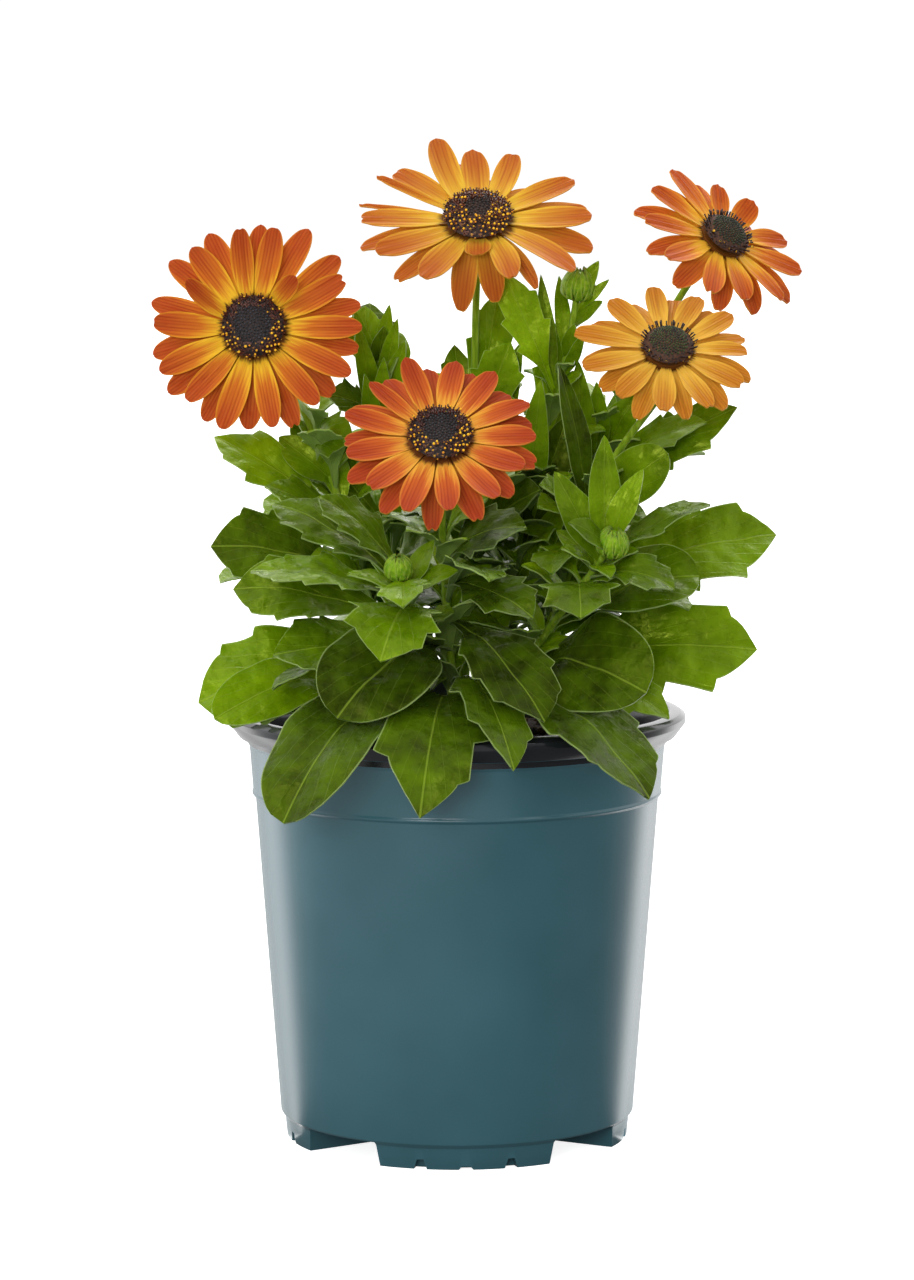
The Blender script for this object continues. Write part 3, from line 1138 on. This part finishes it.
def soil_pieces():
    room = WALL + GAP
    rings = [(BODY_RADIUS_LOW - room, SOIL_FLOOR), (BODY_RADIUS_HIGH - room - 0.1, COLLAR_HEIGHT - 1),
             (COLLAR_RADIUS_HIGH - room - 0.5, SOIL_TOP - 2)]
    rings += [(radius, SOIL_TOP) for radius in range(74, 1, -2)]
    soil = turned("potting_mix_fill", rings, 96)
    points = points_of(soil) / MM
    top = points[:, 2] > SOIL_TOP - 1
    points[top, 2] = [soil_top(x, y) for x, y, _ in points[top]]
    move_points(soil, points * MM)
    give(soil, "tone", 0)
    earth = soil_material()
    finish(soil, "potting_mix", slot="potting_mix", crease=60, materials=[earth])

    crumb = primitive(bpy.ops.mesh.primitive_ico_sphere_add, "crumb", subdivisions=1, radius=1)
    flat = points_of(crumb)
    rough = [1 + 0.3 * jitter(400, i) for i in range(len(flat))]
    move_points(crumb, flat * np.array(rough)[:, None] * [1, 0.8, 0.55])
    places = []
    for i in range(CRUMBS):
        radius = CRUMB_FIELD * math.sqrt((i + 0.5) / CRUMBS)
        angle = GOLDEN * i + 0.4 * jitter(410, i)
        x, y = radius * math.cos(angle), radius * math.sin(angle)
        size = 0.7 + 1.9 * abs(jitter(411, i)) ** 2.5
        places.append((vec(x, y, soil_top(x, y) + 0.1 * size), tumbled(420, i), size, jitter(412, i)))
    crumbs = many("peat_crumbs", crumb, places)
    bpy.data.objects.remove(crumb)
    finish(crumbs, slot="potting_mix", crease=None, materials=[earth])


# ---------------------------------------------------------------- stems and leaves

def stem_piece(stem, line):
    """A round stem that thins to a stalk: a curve with a radius at each point, made a mesh."""
    name = "stem_" + stem["name"]
    data = bpy.data.curves.new(name, "CURVE")
    data.dimensions = "3D"
    data.bevel_depth = 1
    data.bevel_resolution = 3
    data.use_fill_caps = True
    spline = data.splines.new("POLY")
    spline.points.add(STEM_STEPS)
    for k, spot in enumerate(spline.points):
        spot.co = (*(line.at(k / STEM_STEPS) * MM), 1)
        spot.radius = (STEM_RADIUS + (STALK_RADIUS - STEM_RADIUS) * min(1, 1.25 * k / STEM_STEPS)) * MM
    pick(linked(name, data))
    bpy.ops.object.convert(target="MESH")
    piece = bpy.context.object
    mend(piece)
    return piece


def on_axes(piece, axes):
    """A piece modelled upright round Z, stood on a bloom's axes. It is in millimetres until then."""
    x, y, z = points_of(piece).T
    move_points(piece, (axes["centre"] + np.outer(x, axes["right"]) + np.outer(y, axes["up"])
                        + np.outer(z, axes["out"])) * MM)
    return piece


def ring_of_scales(pattern, axes, count, ring, root, tip, width, bow, uneven=0.0):
    """A ring of small scales: `root` and `tip` are (radius, height) on the bloom's axes, each ring is
    turned by half a scale, and `uneven` is the share by which the tips' heights differ."""
    scales = []
    for k in range(count):
        angle = (k + 0.5 * ring) * 2 * math.pi / count
        leaf = {
            "root": on_bloom(axes, root[0], angle, root[1]),
            "tip": on_bloom(axes, tip[0], angle, tip[1] * (1 + uneven * jitter(600 + ring, k))),
            "face": axes["right"] * math.cos(angle) + axes["up"] * math.sin(angle),
            "width": width, "bow": bow, "fold": -0.25, "twist": 0, "wave": 0, "phase": 0, "tone": 0,
        }
        scales.append(laid_leaf(pattern, leaf))
    return scales


def bud_pieces(line, bud, pattern):
    """A round core under three rings of scales. Sizes are shares of the bud's."""
    size = bud["size"]
    axes = bloom_axes(line.at(1), bud["face"])
    pieces = [on_axes(turned("bud_core", [
        (1.6, -size * 0.9), (size * 0.7, -size * 0.6), (size * 0.9, 0), (size * 0.85, size * 0.5),
        (size * 0.5, size * 0.98), (size * 0.12, size * 1.08)], 24, 1), axes)]
    for ring, (count, tip, width, bow) in enumerate([
            (11, (0.34, 1.32), 2.9, 0.74), (11, (0.56, 1.14), 2.9, 0.7), (10, (1.02, 0.5), 2.6, 0.5)]):
        pieces += ring_of_scales(
            pattern, axes, count, ring, (1.4, -size * 0.85), (size * tip[0], size * tip[1]), width,
            bow * size, uneven=0.1)
    return pieces


def cup_pieces(bloom, pattern):
    """The cup behind a bloom: a core under the hub and two rings of scales."""
    axes = axes_of(bloom)
    top = -HUB_HALF_HEIGHT - GAP
    pieces = [on_axes(turned("cup_core", [(1.6, -11.8), (3.4, -10.6), (6.2, -8), (8, -5),
                                          (8.6, top - 1.3), (7.8, top)], 32, 1), axes)]
    for ring, (root, tip, width) in enumerate([
            ((2.2, -11.2), (10.6, top - 0.2), 4.2), ((3.2, -10.6), (10.2, top + 0.2), 3.8)]):
        pieces += ring_of_scales(pattern, axes, 13, ring, root, tip, width, 2.2 - 0.5 * ring)
    return pieces


def leaf_kind(stem, leaf):
    if leaf["width"] < LANCE_WIDTH:
        return "lance"
    if not leaf["listed"]:
        return ("toothed", "notched", "blunt")[leaf["index"] % 3]
    return KINDS.get(stem["name"], {}).get(leaf["index"], "toothed")


def leafy_stem(stem, number, patterns, finishes):
    """The pieces that stand for one solid: the leaves, the stem, and the scales of a bud or cup."""
    name = stem["name"]
    node = "leafy_stem_" + name
    line = stem_line(stem)
    family = 7 * number + 3
    solid = points_of(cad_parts[node]) / MM
    leaves = []
    for leaf in leaves_of(stem, line, family):
        placed = settled(leaf, solid)
        if placed is None:  # the solids found no room for it either
            continue
        usual = 0.7 * jitter(200 + number, leaf["index"])
        placed["tone"] = TONES.get(name, {}).get(leaf["index"], usual)
        leaves.append(laid_leaf(patterns[leaf_kind(stem, placed)], placed))
    for row in clothing(stem, line, family):
        kind = "sprig" if row["index"] % 3 else "lance"
        leaves.append(laid_leaf(patterns[kind], row))
    finish(joined("leaves_" + name, leaves), node, slot="leaf", crease=50, materials=[finishes["leaf"]])
    finish(stem_piece(stem, line), node, slot="leaf", crease=60, materials=[finishes["stem"]])
    small = bud_pieces(line, stem["bud"], patterns["scale"]) if "bud" in stem else []
    small += cup_pieces(stem["bloom"], patterns["scale"]) if "bloom" in stem else []
    if small:
        finish(joined("bracts_" + name, small), node, slot="leaf", crease=45,
               materials=[finishes["bract"]])


# ---------------------------------------------------------------- blooms

def rays_piece(bloom, pattern):
    axes = axes_of(bloom["name"])
    edge = min(HUB_RADIUS, bloom["disc"] - 0.8)
    hub = on_axes(turned("hub", [(edge, -HUB_HALF_HEIGHT), (edge + 0.4, 0), (edge, HUB_HALF_HEIGHT)], 32, 1),
                  axes)
    give(hub, "under", 0)
    # The hub takes the colour of the rays' throats, at the start of their map.
    corners = (hub.data.uv_layers.active or hub.data.uv_layers.new(name="UVMap")).data
    corners.foreach_set("uv", np.tile(np.array([0, 0.5], np.float32), len(corners)))
    rays = [laid_ray(pattern, axes, ray_shape(bloom, k)) for k in range(bloom["rays"])]
    finish(joined("rays_" + bloom["name"], rays + [hub]), f"bloom_{bloom['name']}_rays", slot="ray",
           crease=50, materials=[ray_material(bloom)])


def floret_patterns():
    """A closed floret is a small knob. An open one is a five-lobed funnel round a pillar of anthers. On
    a young disc the outer ones push up a dark column of anthers."""
    knob = primitive(bpy.ops.mesh.primitive_uv_sphere_add, "knob", segments=7, ring_count=5, radius=0.5)
    move_points(knob, points_of(knob) * [1, 1, 1.5])
    funnel = primitive(bpy.ops.mesh.primitive_cone_add, "funnel", vertices=10, radius1=0.3, radius2=0.62,
                       depth=1.5, location=(0, 0, 0.2))
    points = points_of(funnel)
    lobe = np.cos(5 * np.arctan2(points[:, 1], points[:, 0])) > 0
    upper = points[:, 2] > 0.5
    points[upper & lobe] *= [1.5, 1.5, 1]
    points[upper & ~lobe] *= [0.7, 0.7, 0.7]
    move_points(funnel, points)
    pillar = primitive(bpy.ops.mesh.primitive_cylinder_add, "pillar", vertices=6, radius=0.24, depth=1.4,
                       location=(0, 0, 1.3))
    opened = joined("open_floret", [funnel, pillar])
    column = primitive(bpy.ops.mesh.primitive_cone_add, "column", vertices=7, radius1=0.2, radius2=0.34,
                       depth=2.8, location=(0, 0, 1.1))
    apply_modifier(column, "BEVEL", width=0.14, segments=1, limit_method="ANGLE",
                   angle_limit=math.radians(60))
    pollen = primitive(bpy.ops.mesh.primitive_ico_sphere_add, "pollen", subdivisions=1, radius=0.5,
                       location=(0, 0, 2.1))
    return {"knob": knob, "open": opened, "column": column, "pollen": pollen}


def dome_height(bloom, share):
    edge = HUB_HALF_HEIGHT + GAP + 1.6
    return edge + 0.3 + 0.9 * bloom["dome"] * (1 - share ** bloom["florets"][1])


def floret_places(bloom, axes):
    """Where each kind of floret stands: a golden angle on from the last, from the middle outwards."""
    closed, _, dusted, outer = bloom["florets"][:4]
    disc = bloom["disc"]
    places = {"knob": [], outer: [], "pollen": []}
    for i in range(FLORETS):
        share = math.sqrt((i + 0.5) / FLORETS)
        angle = GOLDEN * i
        outward = axes["right"] * math.cos(angle) + axes["up"] * math.sin(angle)
        lean = math.radians(30 if share < closed else 56) * share ** 3
        z = unit(axes["out"] * math.cos(lean) + outward * math.sin(lean))
        x = unit(np.cross(z, axes["right"] + 0.3 * axes["up"] * jitter(300, i)))
        turn = np.array([x, np.cross(z, x), z])
        tone = jitter(310, i)
        if share >= closed:
            angle += 0.5 * jitter(315, i) / (disc * share)
            share = min(1.02, share + 0.3 * jitter(316, i) / disc)
        origin = on_bloom(axes, disc * share * 0.97, angle, dome_height(bloom, min(1, share)))
        if share < closed:
            size = 1.15 * (0.8 + 0.35 * share)
            places["knob"].append((origin, turn, size * disc / FLORET_DISC, tone))
            continue
        if outer == "column" and share < closed + 0.1:
            continue
        size = 0.86 + 0.2 * tone
        places[outer].append((origin, turn, size, tone))
        # Pollen lies thickest on the side that opened first, which is low on the disc.
        low = 0.5 - 0.5 * math.sin(angle) + 0.25 * math.cos(angle)
        if 0.5 + 0.5 * jitter(320, i) < dusted * (0.3 + 0.9 * low):
            places["pollen"].append((origin, turn, size * (0.86 + 0.3 * jitter(330, i)), tone))
    return places


def disc_piece(bloom, patterns, pollen):
    name = "bloom_" + bloom["name"]
    outer, *colours = bloom["florets"][3:]
    axes = axes_of(bloom["name"])
    disc = bloom["disc"]
    foot = HUB_HALF_HEIGHT + GAP
    profile = [(disc * 0.62, foot), (disc * 0.95, foot + 1.4)]
    profile += [(disc * share, dome_height(bloom, share)) for share in (0.99, 0.9, 0.78, 0.6, 0.4, 0.2, 0.03)]
    core = on_axes(turned("core", profile, 48, 1), axes)
    give(core, "tone", 0)
    core.data.materials.append(plain_tissue("disc_floor_" + name, colours[0], colours[1], 0.7, 0.9))
    finishes = {
        "knob": plain_tissue("closed_florets_" + name, colours[2], colours[3], 0.6, 0.7),
        outer: plain_tissue("outer_florets_" + name, colours[4], colours[5], 0.5, 0.8),
        "pollen": pollen,
    }
    parts = [core]
    for kind, rows in floret_places(bloom, axes).items():
        if rows:
            part = many(kind, patterns[kind], rows)
            part.data.materials.append(finishes[kind])
            parts.append(part)
    finish(joined("florets_" + bloom["name"], parts), name + "_disc", slot="disc", crease=50, materials=[])


# ---------------------------------------------------------------- stage, light and camera

def soft_light(name, place, width, height, watts):
    data = bpy.data.lights.new(name, "AREA")
    data.shape = "RECTANGLE"
    data.size, data.size_y, data.energy = width, height, watts
    light = linked(name, data)
    light.location = place
    light.rotation_euler = (Vector(LIT_MIDDLE) - Vector(place)).to_track_quat("-Z", "Y").to_euler()


def floor_material():
    """Matt white paper. The camera sees it evenly lit. What the pot mirrors of it is brightest diagonally
    behind the pot, and darkest in front, close to the pot and towards the right."""
    paper, node = new_material("matt_white_paper")
    seen = node("LightPath", out="Is Camera Ray")
    x, y = (node("SeparateXYZ", (node("TexCoord", out="Object"),), out=axis) for axis in "XY")
    # The heading from the pot's edge: 0 is sideways or to the front, 1 straight back.
    width = node("Math", (node("Math", (x,), operation="ABSOLUTE"), BODY_RADIUS_LOW * MM),
                 operation="SUBTRACT")
    depth = node("Math", (y, 20 * MM), operation="ADD")
    level = node("VectorMath", (node("CombineXYZ", (width, depth)),), operation="NORMALIZE")
    sideways, backwards = (node("SeparateXYZ", (level,), out=axis) for axis in "XY")
    lean = node("Math", (node("Math", (x,), operation="SIGN"), -0.075, 0.075), **SCALED)
    back = node("Math", (sideways, lean, backwards), **SCALED)
    grade = node("ValToRGB", (back,), stops=[
        (0.0, "#303030"), (0.3, "#606060"), (0.5, "#868686"), (0.6, "#b1b1b1"), (0.68, "#e2e2e2"),
        (0.75, "#f1f1f1"), (0.84, "#ececec"), (0.9, "#cbcbcb"), (0.95, "#aeaeae"), (1.0, "#999999")])
    near = node("Math", (node("Math", (x, -1.3), operation="MULTIPLY"), y), operation="SUBTRACT")
    front = node("MapRange", (near, 0.06, 0.42, 0, 0.45))
    shine = node("Math", (grade, SHINE_BRIGHT, front), **SCALED)
    shader = node("BsdfPrincipled", {
        "Base Color": node("Mix", {0: seen, 6: linear("#505050"), 7: linear("#e8e8e8")}, **COLOURS),
        "Roughness": 0.95, "Specular IOR Level": 0.1, "Emission Color": linear("#ffffff"),
        "Emission Strength": node("Mix", {0: seen, 2: shine, 3: PAPER_GLOW}),
    })
    node("OutputMaterial", {"Surface": shader})
    return paper


def studio():
    """A white room, darker on the camera's side, with four soft lights."""
    floor = primitive(bpy.ops.mesh.primitive_circle_add, "floor", vertices=96, radius=9, fill_type="NGON")
    floor.data.materials.append(floor_material())
    soft_light("key_softbox", (-0.9, -1.3, 2.0), 1.0, 1.0, 14)
    soft_light("fill_softbox", (1.5, -1.2, 1.3), 0.9, 1.1, 4)
    soft_light("front_softbox", (-0.5, -2.3, 0.75), 1.0, 0.7, 21)
    soft_light("back_softbox", (0.3, 1.3, 1.8), 1.4, 0.9, 13)
    world = bpy.data.worlds.new("white_room")
    bpy.context.scene.world = world
    world.use_nodes = True
    node = partial(add, world)
    depth = node("SeparateXYZ", (node("TexCoord", out="Generated"),), out="Y")
    room = node("MapRange", (depth, -0.5, 0.35, ROOM_DARK, ROOM_BRIGHT))
    level = node("Mix", {0: node("LightPath", out="Is Camera Ray"), 2: room, 3: ROOM_SEEN})
    background = world.node_tree.nodes["Background"]
    background.inputs["Color"].default_value = linear("#ffffff")
    world.node_tree.links.new(level, background.inputs["Strength"])


def camera():
    data = bpy.data.cameras.new("camera")
    data.lens = CAMERA_LENS
    data.sensor_width = CAMERA_SENSOR
    seen = linked("camera", data)
    seen.location = (0, -CAMERA_DISTANCE, CAMERA_HEIGHT)
    seen.rotation_euler = (math.pi / 2 - CAMERA_TILT, 0, 0)
    bpy.context.scene.camera = seen
    bpy.context.scene.view_settings.view_transform = "Standard"


# ---------------------------------------------------------------- the whole

pot_piece()
soil_pieces()
blades = {
    "toothed": flat_blade("toothed", 40, 16),
    "notched": flat_blade("notched", 40, 16),
    "blunt": flat_blade("blunt", 44, 16),
    "lance": flat_blade("lance", 26, 10),
    "sprig": flat_blade("notched", 20, 10),
    "scale": flat_blade("lance", 14, 6),
}
finishes = {"leaf": leaf_material(), "stem": stem_material(), "bract": bract_material()}
for number, stem in enumerate(STEMS):
    leafy_stem(stem, number, blades, finishes)
ray_pattern = flat_ray(22, 12)
florets = floret_patterns()
pollen = plain_tissue("pollen_clumps", "#d88c08", "#f8be1c", 0.8, 0.5, 0.2)
for bloom in BLOOMS:
    rays_piece(bloom, ray_pattern)
    disc_piece(bloom, florets, pollen)
for pattern in [*blades.values(), ray_pattern, *florets.values()]:
    bpy.data.objects.remove(pattern)
studio()
camera()
